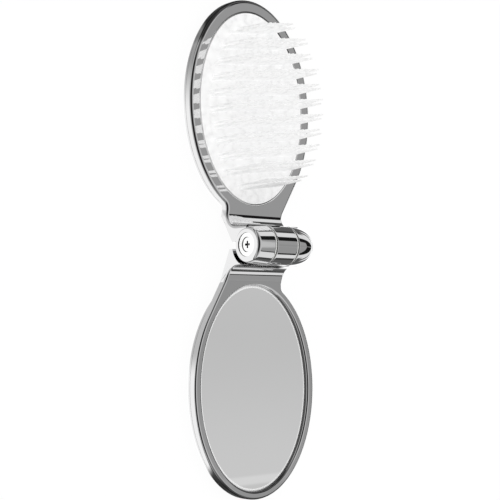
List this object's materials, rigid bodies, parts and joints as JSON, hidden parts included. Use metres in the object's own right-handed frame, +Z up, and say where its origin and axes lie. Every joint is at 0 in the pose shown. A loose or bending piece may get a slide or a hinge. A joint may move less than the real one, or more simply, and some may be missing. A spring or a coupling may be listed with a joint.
{
  "type": "folding hairbrush with mirror",
  "caption": "Folding pocket hairbrush: an oval brush leaf and an oval mirror leaf in chrome, joined by a knuckle hinge so that they fold face to face.",
  "frame": {"origin": "on the table, at the middle of the open part's underside, below the middle of the hinge", "axes": "+X along the hinge away from the screw head, +Y along the brush leaf, +Z up out of the mirror's and the pad's faces"},
  "size_m": [0.054, 0.17, 0.0212],
  "materials": {
    "chrome": "polished chrome plating over moulded plastic",
    "mirror": "silvered glass with a narrow bevel",
    "pins": "white moulded plastic, slightly translucent",
    "cushion": "white rubber, matt",
    "foam": "double-sided adhesive foam",
    "steel": "bright steel",
    "screw": "nickel-plated steel",
    "washer": "natural nylon",
    "brass": "turned brass"
  },
  "bodies": {
    "mirror_leaf": {"mirror_frame": "chrome", "mirror_back_cover": "chrome", "mirror_glass": "mirror", "mirror_adhesive": "foam", "hinge_sleeve": "steel"},
    "brush_leaf": {"brush_frame": "chrome", "brush_back_cover": "chrome", "pad_cushion": "cushion", "pin_plate": "pins", "hinge_screw": "screw", "end_bushing": "chrome", "flat_washer": "steel", "wave_washer": "steel", "friction_washer_left": "washer", "friction_washer_right": "washer", "threaded_insert": "brass"}
  },
  "joints": [
    {"name": "fold_hinge", "type": "hinge", "parent": "mirror_leaf", "child": "brush_leaf", "pos_m": [0, 0, 0.0145], "axis": [1, 0, 0], "range_deg": [0, 180]}
  ]
}
